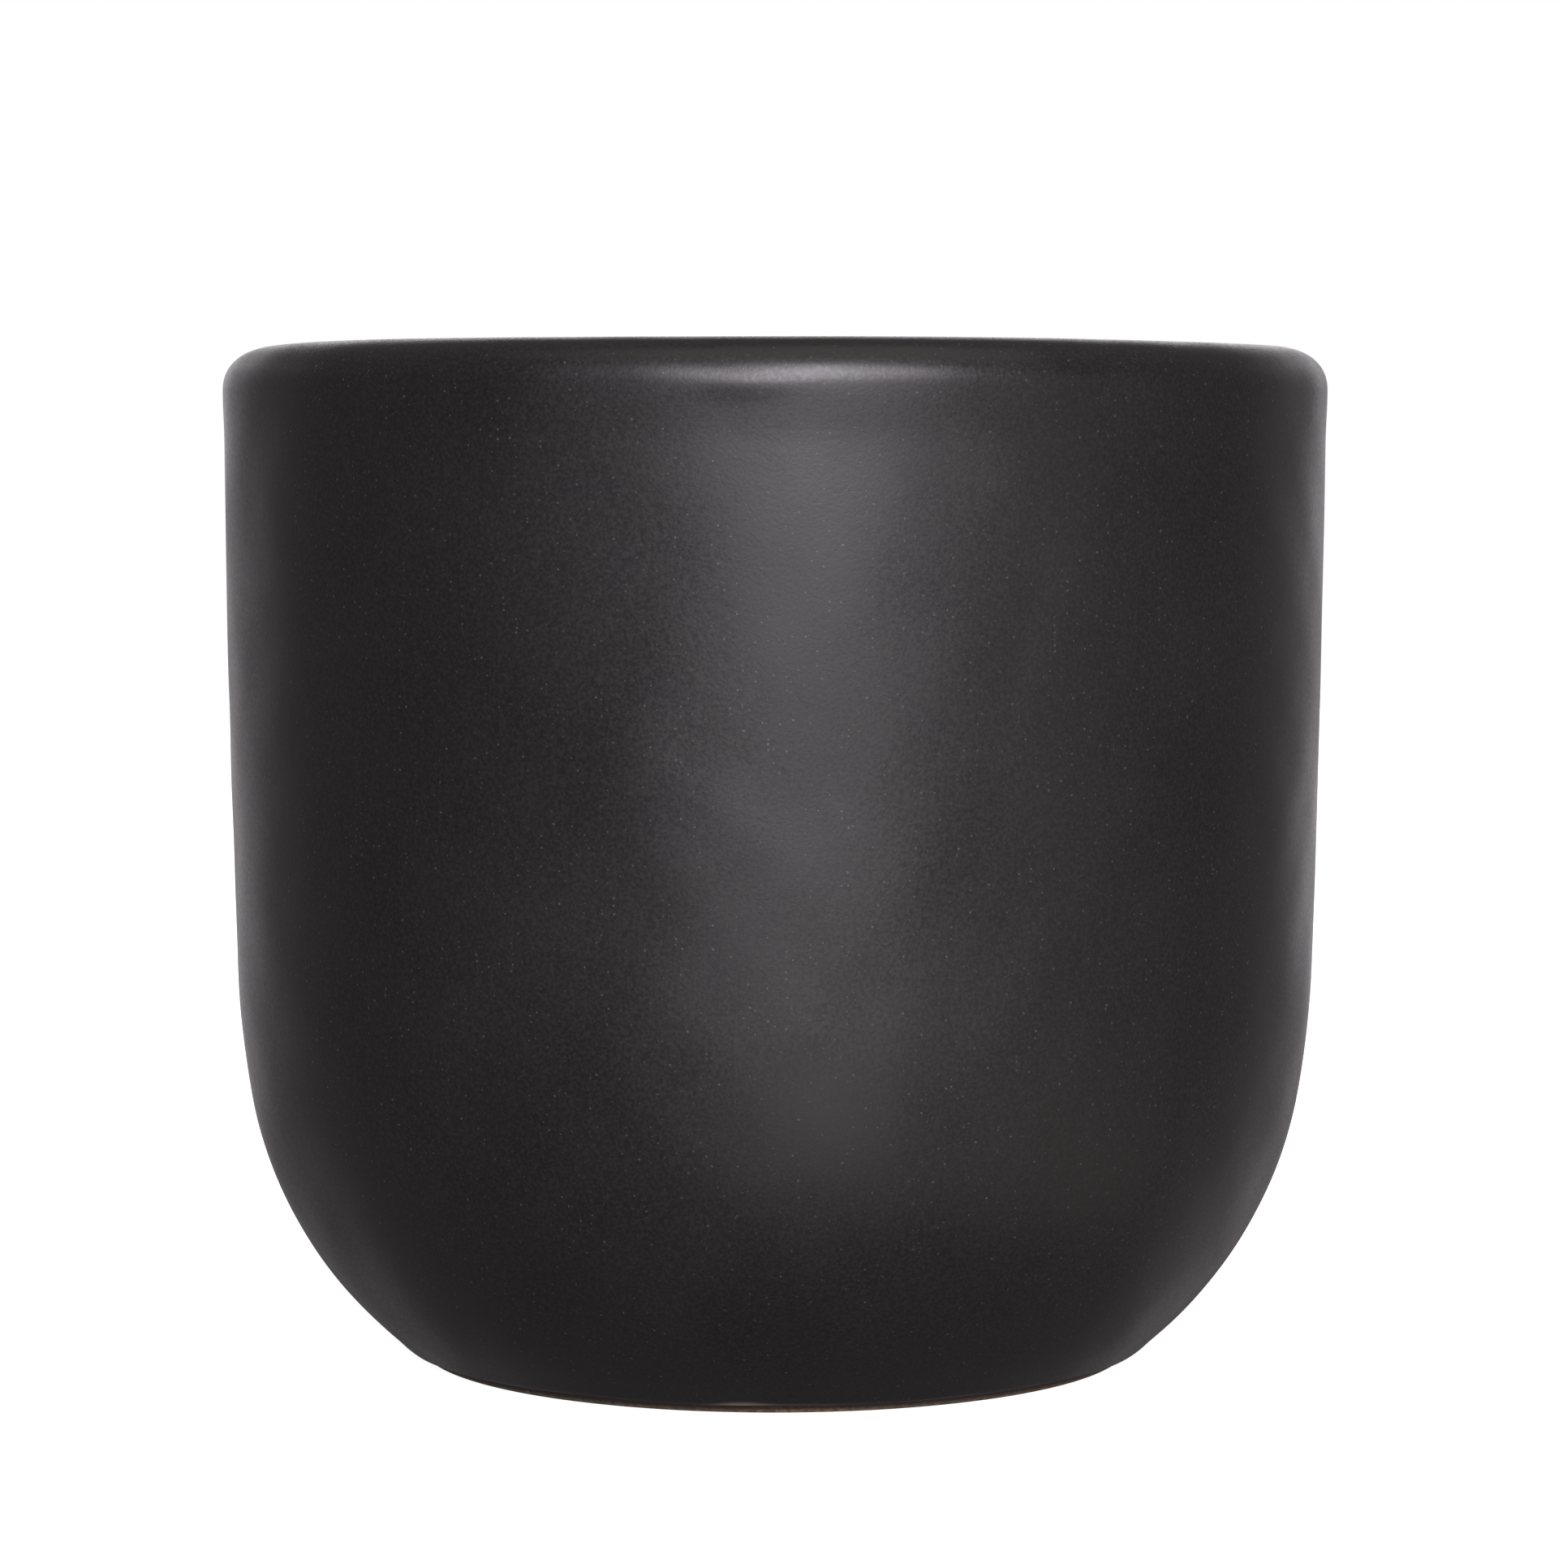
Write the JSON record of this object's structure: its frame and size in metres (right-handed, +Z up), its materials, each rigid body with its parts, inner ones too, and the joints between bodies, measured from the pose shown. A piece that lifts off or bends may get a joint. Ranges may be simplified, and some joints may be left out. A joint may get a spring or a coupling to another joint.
{
  "type": "candle jar",
  "caption": "Empty round ceramic candle jar with a thick rounded lip, near-straight wall, big rounded belly, bare foot ring and satin black glaze inside and out.",
  "frame": {"origin": "middle of the foot, on the surface the jar stands on", "axes": "+Z up along the jar's axis of turning; X and Y are alike, because the jar is round"},
  "size_m": [0.09, 0.09, 0.0826],
  "materials": {
    "stoneware": "bare fired brown stoneware, dry and fine-grained, showing as a thin band at the foot and as the foot ring",
    "black_glaze": "satin to matte black glaze with a fine grain, sparse pale specks and a faint warm mottle",
    "liner_glaze": "the same black, a little glossier, because it pooled inside the jar"
  },
  "bodies": {
    "root": {"clay_body": "stoneware", "outer_glaze": "black_glaze", "liner_glaze": "liner_glaze", "base_glaze": "black_glaze"}
  },
  "joints": []
}
